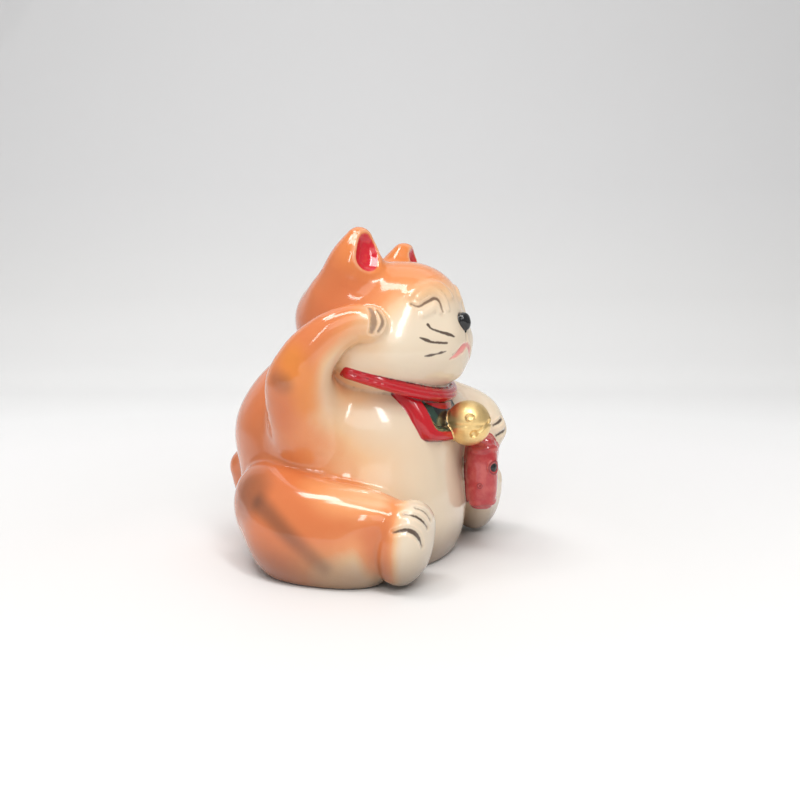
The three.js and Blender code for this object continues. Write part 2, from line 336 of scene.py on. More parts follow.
def settled(stations, form):
    """Stations moved to the nearest spot on the skin of a form"""
    stations = np.array(stations, float)
    for _ in range(8):
        away = form(stations[:, :3])
        slope = slope_of(form, stations[:, :3], away)
        stations[:, :3] -= (away / np.maximum((slope ** 2).sum(1), LEAST_SLOPE))[:, None] * slope
    return stations


def stroke(stations, form):
    """A line over the skin of a form, through stations of x, y, z and half width"""
    return limb(settled(spline(stations, 5), form), 1)


def face_stroke(stations, side=-1):
    """A line over the face, through stations of across, up and half width on the upright head"""
    placed = [(*on_head((-side * across, -29, up)), half) for across, up, half in stations]
    points = spline(placed, 5)
    ahead = HEAD_AXES @ np.array((0, -1, 0))
    near, far = np.full(len(points), -20.0), np.full(len(points), 12.0)
    for _ in range(20):
        middle = (near + far) / 2
        inside = face(points[:, :3] + middle[:, None] * ahead) < 0
        near, far = np.where(inside, middle, near), np.where(inside, far, middle)
    points[:, :3] += near[:, None] * ahead
    return limb(points, 1)


def fading(away, soft):
    """One inside a form, and down to nothing over a soft distance outside it"""
    fade = np.clip(1 - away / soft, 0, 1)
    return fade * fade * (3 - 2 * fade)


def nearest(forms):
    """The nearest of several forms"""
    def form(spots):
        return np.min([each(spots) for each in forms], axis=0)

    return form


# Lines of the face, across and up on the right half, which the left half repeats
EYE_LINE = [(-12.9, 61.4, 0.08), (-11.8, 61, 0.2), (-10, 62.1, 0.26), (-7.9, 63.1, 0.32),
            (-6.8, 62.3, 0.26), (-6.6, 60.2, 0.1)]
BROW_FOLD = [(-12.8, 63.4, 0.2), (-10.7, 65, 0.3), (-7, 66.5, 0.3), (-4.3, 66.1, 0.3),
             (-2.7, 64, 0.2)]
LID_FOLD = [(-11.4, 63, 0.2), (-9.2, 64.6, 0.3), (-6.9, 64.8, 0.3), (-5.2, 63, 0.3),
            (-5, 60.8, 0.2)]
LOWER_FOLD = [(-11.6, 59, 0.2), (-9.8, 60.1, 0.3), (-8.4, 61.1, 0.3), (-7.8, 60, 0.2)]
WHISKERS = [
    [(-11.1, 56.8, 0.4), (-10.6, 55.9, 0.3), (-9, 55.3, 0.3), (-7.4, 54.8, 0.42),
     (-5.7, 54.3, 0.2)],
    [(-13.2, 53.7, 0.2), (-12, 53.2, 0.42), (-10.9, 52.8, 0.3), (-7.7, 52.7, 0.25)],
    [(-12.2, 49.5, 0.15), (-11, 49.8, 0.35), (-9.8, 50.1, 0.2), (-8.6, 50.5, 0.3),
     (-7.6, 50.8, 0.1)],
]
MOUTH_LINE = [(-5.2, 50, 0.1), (-3.6, 51.1, 0.15), (-1.9, 52.3, 0.2), (0, 52.8, 0.2)]
LIPS = [(-6, 48.9, 0.05), (-4, 50.1, 0.5), (-2.2, 51.5, 0.8), (-0.6, 52.5, 0.6)]
SPLIT_LINE = [(0, 56.5, 0.15), (0, 52.8, 0.15)]


def face_strokes(stations):
    return nearest([face_stroke(stations, side) for side in SIDES])


eye_lines = face_strokes(EYE_LINE)
brow_folds = face_strokes(BROW_FOLD)
lid_folds = face_strokes(LID_FOLD)
lower_folds = face_strokes(LOWER_FOLD)
whiskers = nearest([face_strokes(line) for line in WHISKERS])
mouth_lines = face_strokes(MOUTH_LINE)
lips = face_strokes(LIPS)
split_line = face_stroke(SPLIT_LINE)


# Toes and fingers, traced over the right foot and mirrored for the left one
TOE_LINES = [
    [(-30.2, -30.5, 19.8, 0.08), (-28.4, -32.4, 18.4, 0.14), (-26.9, -33.3, 15.8, 0.08)],
    [(-33.4, -28.4, 18.4, 0.1), (-31.8, -31.5, 17.4, 0.26), (-29, -33.4, 14.3, 0.12)],
    [(-35.4, -26.9, 14.2, 0.12), (-34.2, -29.8, 14.6, 0.38), (-32.8, -31.9, 13, 0.36),
     (-31.3, -32.9, 10.5, 0.12)],
]
PAW_BANDS = [
    [(-22.4, -16.1, 61.3, 0.35), (-23.2, -17.1, 59.9, 0.6), (-23.7, -17.5, 58.2, 0.7),
     (-23.8, -16.9, 55.9, 0.4)],
    [(-21.5, -17.6, 60.8, 0.25), (-21.3, -18.5, 59.3, 0.5), (-21.4, -18.8, 57.9, 0.5),
     (-22.4, -18.2, 56.1, 0.3)],
]
HAND_LINES = [
    [(12.7, -34.8, 31.6, 0.15), (14.2, -35.9, 32.4, 0.3), (16.4, -36, 33, 0.2)],
    [(12.6, -35.8, 28.6, 0.15), (14.5, -36.8, 29.4, 0.3), (17, -36.8, 30.1, 0.2)],
]


def mirrored(stations, side):
    return [(-side * x, y, z, half) for x, y, z, half in stations]


toe_lines = nearest([stroke(mirrored(line, side), trunk) for line in TOE_LINES for side in SIDES])
paw_bands = nearest([stroke(band, raised_arm) for band in PAW_BANDS])
hand_lines = nearest([stroke(line, lowered_arm) for line in HAND_LINES])


# What the cat wears and holds

BIB_HALF_WIDE = 12.4
BIB_HEM = 29.5
BIB_BORDER = 3.2
BIB_RED_WIDE = BIB_BORDER - 0.9
BIB_SHADE_HALF_WIDE = 6.4
BIB_PLATE = 0.9
BIB_ROLL = 1.1


def bib_inset(spots):
    """How far spots lie inside the outline of the bib, negative outside it"""
    across = np.abs(spots[:, 0]) / BIB_HALF_WIDE
    hem = BIB_HEM + 0.9 * across ** 2
    half_wide = BIB_HALF_WIDE - 0.9 * fading(spots[:, 2] - BIB_HEM, 6)
    inset = soften(half_wide - np.abs(spots[:, 0]), spots[:, 2] - hem, 1.5)
    return np.where(spots[:, 1] < -5, inset, -FAR_AWAY)


def bib(spots):
    """Its rolled border stands up round a lower field"""
    inset = bib_inset(spots)
    rim = 1 - ((inset - BIB_BORDER / 2) / (BIB_BORDER / 2 + 0.2)) ** 2
    thick = BIB_PLATE + BIB_ROLL * np.sqrt(np.clip(rim, 0, 1))
    return -soften(thick - chest(spots), inset, 0.8)


# Gathered cloth between the collar and the bib
RUFFLE = [(-8, -23.6, 39.8, 0.8), (-4.6, -26.2, 39, 1.3), (0, -27.4, 39, 1.5),
          (4.6, -26.2, 39, 1.3), (8, -23.6, 39.8, 0.8)]
ruffle = stroke(RUFFLE, chest)


def collar(spots):
    """A round band with a groove along it, which ends just short of the raised arm"""
    out, up = collar_section(spots)
    groove = fading(np.abs(up - 0.1) - 0.1, 0.5)
    band = np.hypot(out, up) - COLLAR_THICK / 2 + 0.3 * groove
    return carve(band, raised_arm(spots) - COLLAR_ARM_GAP, 0.8)


def on_bell(way):
    """The spot on the bell that lies in a direction from its middle"""
    return np.array(BELL_MIDDLE) + np.array(way) / np.linalg.norm(way) * BELL_ACROSS / 2


BELL_SLOT = [(-0.77, -0.5, -0.4), (-0.6, -0.78, -0.2), (-0.35, -0.94, 0), (0.26, -0.88, 0.4)]
BELL_RING = (-0.88, -0.34, 0.34)
BELL_RING_RADIUS = 0.8
BELL_HOLE_RADIUS = 1
bell_slot = limb([(*on_bell(way), 0.4) for way in BELL_SLOT])
bell_holes = nearest([
    egg(on_bell(way), (BELL_HOLE_RADIUS,) * 3) for way in (BELL_SLOT[0], BELL_SLOT[-1])
])


def bell_ring(spots):
    """A small ring, open on its right, cut into the upper half of the bell"""
    from_middle = spots - on_bell(BELL_RING)
    ring = np.abs(np.linalg.norm(from_middle, axis=1) - BELL_RING_RADIUS) - 0.1
    opening = np.maximum(np.abs(from_middle[:, 2]) - 0.3, from_middle[:, 1])
    return np.maximum(ring, -opening)


def jingle(spots):
    """The bell with its seam, ring, slot and holes"""
    seam = fading(np.abs(spots[:, 2] - BELL_MIDDLE[2]) - 0.08, 0.35)
    away = bell(spots) + 0.28 * seam - 0.28 * fading(bell_ring(spots), 0.25)
    return carve(carve(away, bell_slot(spots), 0.2), bell_holes(spots), 0.3)


FISH_EYE = (5.7, -36.4, 21.9)
FISH_EYE_RADIUS = 1.2
FISH_SCALES_TOP = 27.4
FISH_GILL = [(3.9, -31.8, 26.2, 0.2), (4, -34.3, 26.4, 0.4), (5.4, -36.5, 26.9, 0.4),
             (9, -37.6, 26.3, 0.3)]
FISH_LIP = [(4.9, -31.3, 12.6, 0.2), (4.4, -33.8, 12.5, 0.3), (5, -35.7, 12.7, 0.3),
            (10, -36.4, 13, 0.2)]
FISH_NOSTRIL = (3.3, -34, 17.4)
fish = joined([fish_head, fish_body], 1)
fish_gill = stroke(FISH_GILL, fish)
fish_lip = stroke(FISH_LIP, fish)


def ring_on(form, middle, radius, half):
    """A ring of half width half round a spot on a form's skin"""
    middle = settled([(*middle, 0)], form)[0, :3]

    def ring(spots):
        return np.abs(np.linalg.norm(spots - middle, axis=1) - radius) - half

    return ring


fish_eye = egg(FISH_EYE, (FISH_EYE_RADIUS,) * 3)
eye_ring = ring_on(fish, FISH_EYE, 1.6, 0.2)
nostril_ring = ring_on(fish, FISH_NOSTRIL, 0.6, 0.15)


def fish_skin(spots):
    """The sea bream, with its gill cover, lips, eye, nostril and crossed rows of scales"""
    away = fish(spots)
    away = away - 0.5 * fading(fish_gill(spots), 0.7) - 0.35 * fading(fish_lip(spots), 0.6)
    away = away - 0.25 * fading(eye_ring(spots), 0.4) - 0.15 * fading(nostril_ring(spots), 0.3)
    across, up = spots[:, 0], spots[:, 2]
    scales = np.sin(across * 2.6 + up * 1.3) * np.sin(up * 2.9 - across * 1.4)
    away = away - 0.14 * scales * fading(FISH_SCALES_TOP - up, 0.8)
    return soften(away, fish_eye(spots), 0.2)


def relief(spots):
    """How far the fine lines of the mould stand proud of the skin, or sink in below nought"""
    proud = 0.42 * fading(brow_folds(spots), 1.4) + 0.3 * fading(lid_folds(spots), 0.8)
    proud += 0.3 * fading(lower_folds(spots), 1.0)
    proud -= 0.3 * fading(eye_lines(spots), 0.6) + 0.35 * fading(mouth_lines(spots), 0.5)
    proud -= 0.45 * fading(split_line(spots), 0.5) + 0.2 * fading(lips(spots), 0.3)
    proud -= 0.45 * fading(toe_lines(spots), 0.9) + 0.35 * fading(paw_bands(spots), 0.7)
    proud -= 0.5 * fading(hand_lines(spots), 0.8)
    return proud


SKIN_INSIDE = 0.08
VENT_RADIUS = 3
VENT_DEEP = 3
VENT_BACK = 13


def vent_hole(spots):
    out = np.hypot(spots[:, 0], spots[:, 1] - VENT_BACK) - VENT_RADIUS
    return np.maximum(out, spots[:, 2] - VENT_DEEP)


def clay(spots):
    """The whole figure, flat below, with its vent hole, and a hair inside the solid's bounds"""
    away = figure(spots) - relief(spots)
    for worn, width in ((bib, 0.3), (collar, 0.5), (ruffle, 0.4), (fish_skin, 1.6), (jingle, 0.3)):
        away = soften(away, worn(spots), width)
    away = -soften(-away - SKIN_INSIDE, spots[:, 2], 0.8)
    return carve(away, vent_hole(spots), 0.4)


# Casting

FACET = 0.75
NEAR_ENOUGH = 0.01


def copy_of_solid():
    """A copy of the solid, its corners merged, wrapped in one even net of small squares"""
    bpy.ops.object.select_all(action="DESELECT")
    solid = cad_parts["lucky_cat"]
    casting = bpy.data.objects.new("porcelain_cat", solid.data.copy())
    bpy.context.scene.collection.objects.link(casting)
    bpy.context.view_layer.objects.active = casting
    casting.select_set(True)
    bpy.ops.object.mode_set(mode="EDIT")
    bpy.ops.mesh.select_all(action="SELECT")
    bpy.ops.mesh.remove_doubles(threshold=0.01 * MM)
    bpy.ops.object.mode_set(mode="OBJECT")
    net = casting.modifiers.new("net", "REMESH")
    net.mode = "VOXEL"
    net.voxel_size = FACET * MM
    net.use_smooth_shade = True
    bpy.ops.object.modifier_apply(modifier="net")
    return casting


def spots_of(casting):
    spots = np.empty(len(casting.data.vertices) * 3)
    casting.data.vertices.foreach_get("co", spots)
    return spots.reshape(-1, 3) / MM


def place_spots(casting, spots):
    casting.data.vertices.foreach_set("co", (spots * MM).ravel())
    casting.data.update()


def normals_of(casting):
    normals = np.empty(len(casting.data.vertices) * 3)
    casting.data.vertex_normals.foreach_get("vector", normals)
    return normals.reshape(-1, 3)


def press(casting, rounds):
    """Moves the net to the nearest spots on the clay, by its own slope"""
    spots = spots_of(casting)
    away = clay(spots)
    for _ in range(rounds):
        loose = np.abs(away) > NEAR_ENOUGH
        close = spots[loose]
        slope = slope_of(clay, close, away[loose])
        pull = np.clip(away[loose], -1, 1) / np.maximum((slope ** 2).sum(1), LEAST_SLOPE)
        spots[loose] = close - pull[:, None] * slope
        away[loose] = clay(spots[loose])
    place_spots(casting, spots)


def edges_of(casting):
    """Which spots each edge of the net joins"""
    ends = np.empty(len(casting.data.edges) * 2, int)
    casting.data.edges.foreach_get("vertices", ends)
    return ends.reshape(-1, 2)


def added_up(edges, at_first, at_second, count):
    """What the edges add at their first and second spots, for each spot and shared out by edge"""
    total = np.zeros((count, *at_first.shape[1:]))
    np.add.at(total, edges[:, 0], at_first)
    np.add.at(total, edges[:, 1], at_second)
    return (total.T / np.bincount(edges.ravel(), minlength=count)).T


def around(edges, values):
    """The average of each spot's neighbours"""
    return added_up(edges, values[edges[:, 1]], values[edges[:, 0]], len(values))


def relax(casting, rounds):
    """Evens out the net along the skin"""
    edges = edges_of(casting)
    for _ in range(rounds):
        spots = spots_of(casting)
        slide = around(edges, spots) - spots
        normals = normals_of(casting)
        slide -= (slide * normals).sum(1)[:, None] * normals
        place_spots(casting, spots + 0.5 * slide)


def refine(casting, detail, within):
    """Splits the squares of the net that lie near some detail"""
    near = detail(spots_of(casting)) < within
    bpy.ops.object.mode_set(mode="EDIT")
    bpy.ops.mesh.select_mode(type="VERT")
    bpy.ops.mesh.select_all(action="DESELECT")
    bpy.ops.object.mode_set(mode="OBJECT")
    casting.data.vertices.foreach_set("select", near)
    bpy.ops.object.mode_set(mode="EDIT")
    bpy.ops.mesh.subdivide(number_cuts=1)
    bpy.ops.object.mode_set(mode="OBJECT")


def face_detail(spots):
    return np.minimum(egg(on_head((0, -29, 57)), (13, 8, 11), 3, HEAD_TURN)(spots), nose(spots))


worn_detail = nearest([bell, fish, lambda spots: np.abs(bib(spots)), collar])
small_detail = nearest([eye_lines, whiskers, mouth_lines, lips, split_line, toe_lines, paw_bands,
                        hand_lines, nose, bell_slot, bell_holes, bell_ring, fish_eye, nostril_ring])
any_detail = nearest([face_detail, worn_detail, small_detail, *hollows])


def crease_of(casting):
    """How deep each spot lies in a crease, per millimetre, and below nought on a ridge"""
    edges = edges_of(casting)
    first, second = edges.T
    spots, normals = spots_of(casting), normals_of(casting)
    way = spots[second] - spots[first]
    long = np.maximum((way ** 2).sum(1), 1e-6)
    at_first = (way * normals[first]).sum(1) / long
    at_second = -(way * normals[second]).sum(1) / long
    bend = 2 * added_up(edges, at_first, at_second, len(spots))
    for _ in range(3):
        bend = (bend + around(edges, bend)) / 2
    return bend


# Paint. Each colour has a form, and the casting keeps every spot's distance from it in
# millimetres, so that the edge of the paint is sharper than the net.

def airbrushed(sprays, spots):
    """How much paint several soft sprays of form, soft distance and strength leave on spots"""
    bare = np.ones(len(spots))
    for form, soft, strength in sprays:
        bare *= 1 - strength * fading(form(spots), soft)
    return 1 - bare


# Orange over the back, the crown, the brow, the ears and the outer sides of both arms
ORANGE_SPRAYS = [
    (egg((0, 29, 24), (44, 16, 42), 2, (-10, 0, 0)), 44, 1),
    (head_egg((0, 4, 66), (24, 12, 14)), 18, 1),
    (head_egg((0, -12, 77), (22, 14, 8)), 17, 0.6),
    (head_egg((-21, -10, 58), (4, 16, 8)), 9, 0.34),
    (head_egg((0, -24, 66), (15, 9, 5)), 9, 0.34),
    (ears[0], 2.5, 0.8), (ears[1], 2.5, 0.8),
    (limb([(-34, 4, 36, 3), (-35, 0, 46, 3.4), (-32, -4, 54, 2.4), (-27, -9, 62, 1)]), 6.5, 0.9),
    (limb([(30, 0, 36, 4), (31, -8, 38, 4), (29, -18, 37, 2)]), 7, 0.8),
]
# The same orange over the haunches, and down the outer edge of each foot
LEG_SPRAYS = [
    (egg((-36, 0, 20), (9, 17, 8)), 10, 0.95),
    (egg((-35, -17, 19), (6, 9, 5)), 7, 0.45),
    (egg((-32, 13, 8), (12, 14, 14)), 11, 0.9),
    (limb([(-30, -22, 21, 3), (-34.5, -23, 15, 2.2), (-36, -23.5, 8, 1.4), (-35.5, -24, 3, 0.6)]),
     4.4, 0.9),
]
# None of it along the top of the thigh and over the front of the foot
LEG_BARE_SPRAYS = [
    (limb([(-30, -7, 23, 1.5), (-32.5, -12, 21, 2), (-31, -20, 19.5, 1.5)]), 6, 0.7),
    (egg((-29, -34, 8), (7.5, 4.4, 14), 2, (-8, 0, 0)), 5.5, 1),
]
# A warmer glow on the outer side of each arm and over the crown
AMBER_SPRAYS = [
    (limb([(-32, -1, 50, 0.8), (-31.5, -3.5, 45, 1), (-30, -4, 40, 0.6)]), 5, 0.75),
    (head_egg((0, -14, 76), (17, 7, 4)), 8, 0.3),
]
# Smoke on the haunches, in a streak down each thigh and on the elbow, and painted shade that darkens
# the figure towards its base
SMOKE_AND_BASE_SHADE_SPRAYS = [
    (egg((-33, 12, 20), (3, 4, 3)), 6, 0.42),
    (limb([(-34.5, 7, 17.6, 0.4), (-36.5, 1.8, 15.3, 0.3), (-39.5, -5.8, 10.2, 0.2),
           (-39, -11.6, 5.4, 0.2)]), 3.2, 0.6),
    (limb([(-34.4, 3, 45.4, 0.8), (-34.4, 0.4, 44.4, 0.6)]), 3.4, 0.5),
    # Painted shade: the figure is darker towards its base
    (lambda spots: spots[:, 2], 12, 0.45),
    (egg((-31, 22, 22), (8, 9, 12)), 9, 0.22),
]
# The lower face and the chest beside the raised arm stay cream
BARE_SPRAYS = [
    (head_egg((0, -30, 50), (20, 12, 9)), 12, 1),
    (limb([(-24, -12, 46, 3), (-26, -14, 38, 4), (-20, -24, 38, 5)]), 8, 0.85),
]


def mirrored_form(form):
    """The same form on the other half of the cat"""
    return lambda spots: form(spots * (-1, 1, 1))


def both_sides(sprays):
    return sprays + [(mirrored_form(form), soft, strength) for form, soft, strength in sprays]


def orange(spots):
    sprayed = airbrushed(ORANGE_SPRAYS, spots) * (1 - airbrushed(BARE_SPRAYS, spots))
    legs_sprayed = airbrushed(both_sides(LEG_SPRAYS), spots)
    legs_sprayed *= 1 - airbrushed(both_sides(LEG_BARE_SPRAYS), spots)
    legs_sprayed *= fading(nearest(legs + feet)(spots) - 0.5, 1.2)
    return 1 - (1 - sprayed) * (1 - legs_sprayed)


def amber(spots):
    return airbrushed(both_sides(AMBER_SPRAYS), spots)


def smoke_and_base_shade(spots):
    return airbrushed(both_sides(SMOKE_AND_BASE_SHADE_SPRAYS), spots)


def bib_field(spots):
    return np.maximum(np.abs(bib(spots)) - 0.5, BIB_RED_WIDE - bib_inset(spots))


# Painted shade: the middle of the bib's field, behind the bell, is painted black
def bib_shade_behind_bell(spots):
    return np.maximum(bib_field(spots), np.abs(spots[:, 0]) - BIB_SHADE_HALF_WIDE)


def ear_red(spots):
    return nearest(hollows)(spots) - 0.15


# A painted form is let out a little where its paint runs over its edge
PAINTS = {
    "orange": orange,
    "amber": amber,
    "smoke_and_base_shade": smoke_and_base_shade,
    "sepia": eye_lines,
    "ink": nearest([whiskers, toe_lines, hand_lines]),
    "bands": paw_bands,
    "lips": lips,
    "nose": lambda spots: nose_drop(spots) - 0.12,
    "ears": ear_red,
    "collar": lambda spots: np.minimum(collar(spots), ruffle(spots)) - 0.25,
    "bib": lambda spots: bib(spots) - 0.2,
    "bib_field": bib_field,
    "bib_shade_behind_bell": bib_shade_behind_bell,
    "fish": lambda spots: fish_skin(spots) - 0.3,
    "fish_eye": lambda spots: fish_eye(spots) - 0.1,
    "bell": lambda spots: jingle(spots) - 0.2,
    # Painted shade in the bell's slot, holes and ring
    "bell_hollow_shade": nearest([bell_slot, bell_holes, bell_ring]),
    "fish_rings": nearest([eye_ring, nostril_ring, fish_gill]),
}


def keep_on(casting, name, values):
    attribute = casting.data.attributes.new(name, "FLOAT", "POINT")
    attribute.data.foreach_set("value", np.clip(values, -FAR_AWAY, FAR_AWAY).astype(np.float32))


def cast():
    """The glazed figure"""
    casting = copy_of_solid()
    press(casting, 6)
    relax(casting, 3)
    press(casting, 3)
    refine(casting, any_detail, 1.5)
    press(casting, 4)
    refine(casting, small_detail, 0.9)
    press(casting, 4)
    relax(casting, 2)
    press(casting, 3)
    spots = spots_of(casting)
    spots -= relief(spots)[:, None] * normals_of(casting)
    for name, paint in PAINTS.items():
        keep_on(casting, name, paint(spots))
    keep_on(casting, "crease", crease_of(casting))
    bpy.ops.object.shade_smooth()
    return casting


cat = cast()


# Materials

def srgb(red, green, blue):
    """A colour as a paint chart gives it, from 0 to 255, in the linear values that shaders use"""
    parts = [value / 255 for value in (red, green, blue)]
    return (*[part / 12.92 if part < 0.04 else ((part + 0.055) / 1.055) ** 2.4 for part in parts], 1)


CREAM = srgb(227, 210, 186)
PEACH = srgb(232, 190, 146)
APRICOT = srgb(229, 150, 96)
RUST = srgb(214, 120, 70)
AMBER = srgb(226, 136, 56)
SMOKE_AND_SHADE_BROWN = srgb(86, 60, 48)
INK_BROWN = srgb(66, 46, 38)
SEPIA = srgb(104, 76, 60)
BAND_BROWN = srgb(140, 112, 92)
CREASE_SHADE_BROWN = srgb(132, 98, 76)
RIDGE_HIGHLIGHT_PALE = srgb(255, 224, 196)
LIP_PINK = srgb(240, 140, 138)
JET = srgb(16, 17, 20)
EAR_RED = srgb(206, 24, 44)
COLLAR_RED = srgb(190, 14, 30)
COLLAR_DEEP = srgb(92, 4, 14)
COLLAR_LIGHT = srgb(226, 66, 66)
BIB_GREEN = srgb(34, 62, 50)
BREAM_RED = srgb(178, 48, 54)
BREAM_PALE = srgb(200, 88, 84)
BREAM_DEEP = srgb(120, 12, 26)
GOLD = srgb(255, 222, 156)
GOLD_DARK = srgb(120, 80, 30)


def add_node(tree, kind, settings=None, inputs=None):
    """A shader node, with its inputs given as values or as other nodes' outputs"""
    made = tree.nodes.new("ShaderNode" + kind)
    for name, value in (settings or {}).items():
        setattr(made, name, value)
    for name, value in (inputs or {}).items():
        if isinstance(value, bpy.types.NodeSocket):
            tree.links.new(value, made.inputs[name])
        else:
            made.inputs[name].default_value = value
    return made


def sum_of(tree, operation, *values):
    inputs = dict(enumerate(values))
    return add_node(tree, "Math", {"operation": operation}, inputs).outputs[0]


def noise(tree, size, detail=2.0):
    """Cloudy values from 0 to 1, with clouds of about a size in millimetres"""
    place = add_node(tree, "TexCoord").outputs["Object"]
    clouds = add_node(tree, "TexNoise", inputs={
        "Vector": place, "Scale": 1 / (size * MM), "Detail": detail,
    })
    return clouds.outputs["Fac"]


def new_group(name, inputs, outputs):
    """An empty group of shader nodes with float inputs and outputs"""
    group = bpy.data.node_groups.new(name, "ShaderNodeTree")
    for socket in inputs:
        group.interface.new_socket(socket, in_out="INPUT", socket_type="NodeSocketFloat")
    for socket in outputs:
        group.interface.new_socket(socket, in_out="OUTPUT", socket_type="NodeSocketFloat")
    return group, group.nodes.new("NodeGroupInput").outputs, group.nodes.new("NodeGroupOutput").inputs


def brushed_edge_group():
    """Turns the distance from a painted form into a mask with a slightly wavering edge"""
    group, given, result = new_group("brushed edge", ["Distance", "Softness", "Waver"], ["Mask"])
    waver = sum_of(group, "MULTIPLY", sum_of(group, "SUBTRACT", noise(group, 0.9), 0.5), given["Waver"])
    place = sum_of(group, "ADD", given["Distance"], waver)
    low = sum_of(group, "MULTIPLY", given["Softness"], -1.0)
    edge = add_node(group, "MapRange", {"interpolation_type": "SMOOTHSTEP"}, {
        "Value": place, "From Min": low, "From Max": given["Softness"], "To Min": 1.0, "To Max": 0.0,
    })
    group.links.new(edge.outputs["Result"], result["Mask"])
    return group


def sprayed_mist_group():
    """Breaks up the even fade of a sprayed colour into fine droplets and soft clouds"""
    group, given, result = new_group("sprayed mist", ["Amount", "Grain"], ["Mask"])
    drops = sum_of(group, "SUBTRACT", noise(group, 0.22, 1.0), 0.5)
    clouds = sum_of(group, "SUBTRACT", noise(group, 5, 2.0), 0.5)
    both = sum_of(group, "ADD", sum_of(group, "MULTIPLY", drops, 0.5), clouds)
    edge = sum_of(group, "MULTIPLY", given["Amount"], sum_of(group, "SUBTRACT", 1.15, given["Amount"]))
    change = sum_of(group, "MULTIPLY", sum_of(group, "MULTIPLY", both, given["Grain"]), edge)
    total = add_node(group, "Math", {"operation": "ADD", "use_clamp": True}, {
        0: given["Amount"], 1: change,
    })
    group.links.new(total.outputs[0], result["Mask"])
    return group


BRUSHED_EDGE = brushed_edge_group()
SPRAYED_MIST = sprayed_mist_group()


def kept(tree, name):
    """A value that the casting keeps at each of its corners"""
    return add_node(tree, "Attribute", {"attribute_name": name}).outputs["Fac"]


def brushed(tree, name, soft=0.08, waver=0.12):
    group = add_node(tree, "Group", {"node_tree": BRUSHED_EDGE}, {
        "Distance": kept(tree, name), "Softness": soft, "Waver": waver,
    })
    return group.outputs["Mask"]


def misted(tree, name, grain=0.5):
    group = add_node(tree, "Group", {"node_tree": SPRAYED_MIST}, {
        "Amount": kept(tree, name), "Grain": grain,
    })
    return group.outputs["Mask"]


def laid_over(tree, mask, below, above, strength=1.0):
    """One colour laid over another where the mask is"""
    if strength < 1:
        mask = sum_of(tree, "MULTIPLY", mask, strength)
    mix = add_node(tree, "Mix", {"data_type": "RGBA", "clamp_factor": True})
    for socket, value in (("Factor_Float", mask), ("A_Color", below), ("B_Color", above)):
        target = next(each for each in mix.inputs if each.identifier == socket)
        if isinstance(value, bpy.types.NodeSocket):
            tree.links.new(value, target)
        else:
            target.default_value = value
    return next(each for each in mix.outputs if each.identifier == "Result_Color")


def ramp(tree, value, stops):
    """Blends through colours at places from 0 to 1"""
    made = add_node(tree, "ValToRGB", inputs={"Fac": value})
    elements = made.color_ramp.elements
    while len(elements) < len(stops):
        elements.new(0.5)
    for element, (place, colour) in zip(elements, stops):
        element.position, element.color = place, colour
    return made.outputs["Color"]


def graded(tree, value, low, high, start=0.0, end=1.0):
    made = add_node(tree, "MapRange", {"interpolation_type": "SMOOTHSTEP"}, {
        "Value": value, "From Min": low, "From Max": high, "To Min": start, "To Max": end,
    })
    return made.outputs["Result"]


def pooled_with_painted_light(tree, deep, middle, pale):
    """A thick glossy colour, darker in creases and paler on ridges: partly where the glaze pools and
    runs thin, partly painted shade and painted highlight
    """
    crease = sum_of(tree, "ADD", kept(tree, "crease"),
                    sum_of(tree, "MULTIPLY", sum_of(tree, "SUBTRACT", noise(tree, 1.6), 0.5), 0.25))
    coat = laid_over(tree, graded(tree, crease, -0.7, -1.4), middle, pale)
    return laid_over(tree, graded(tree, crease, 0.3, 1), coat, deep)


